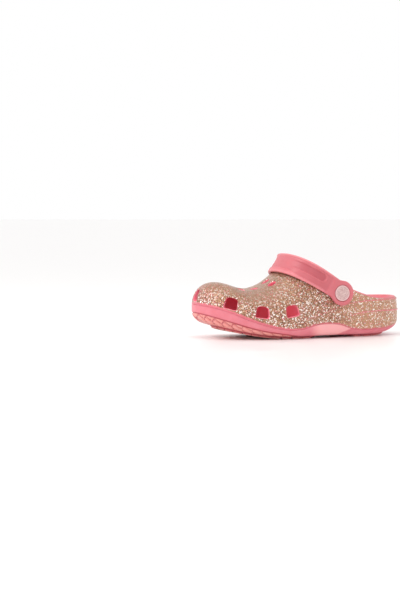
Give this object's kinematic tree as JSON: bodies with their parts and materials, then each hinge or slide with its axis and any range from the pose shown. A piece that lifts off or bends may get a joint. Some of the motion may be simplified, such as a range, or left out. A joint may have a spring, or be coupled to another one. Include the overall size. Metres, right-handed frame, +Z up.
{
  "type": "rubber garden clog",
  "caption": "Child's moulded foam slip-on clog, left foot, with a vented glitter upper, a pink wave-edged sole with cut treads and a swinging heel strap on two snap rivets.",
  "frame": {"origin": "on the ground, under the middle of the box round the whole clog", "axes": "+X from heel to toe, +Y to the outer side of the foot, +Z up"},
  "size_m": [0.19, 0.0817, 0.0736],
  "materials": {
    "pink_foam": "matt moulded foam",
    "glitter_film": "clear film full of rose-gold and silver flakes",
    "sole_foam": "satin moulded foam",
    "tread_foam": "matt moulded foam",
    "strap_foam": "matt moulded foam",
    "rivet_plastic": "satin",
    "silver_foil": "brushed foil"
  },
  "bodies": {
    "clog": {"upper_foam": "pink_foam", "glitter_film": "glitter_film", "sole_unit": "sole_foam", "heel_tread": "tread_foam", "forefoot_tread": "tread_foam", "rivet_button_outer": "rivet_plastic", "rivet_snap_cap_outer": "rivet_plastic", "button_inlay_outer": "silver_foil", "rivet_button_inner": "rivet_plastic", "rivet_snap_cap_inner": "rivet_plastic", "button_inlay_inner": "silver_foil"},
    "strap": {"heel_strap": "strap_foam"}
  },
  "joints": [
    {"name": "strap_swing", "type": "hinge", "parent": "clog", "child": "strap", "pos_m": [-0.026, 0.0023, 0.039], "axis": [0, -1, 0], "range_deg": [0, 140]}
  ]
}
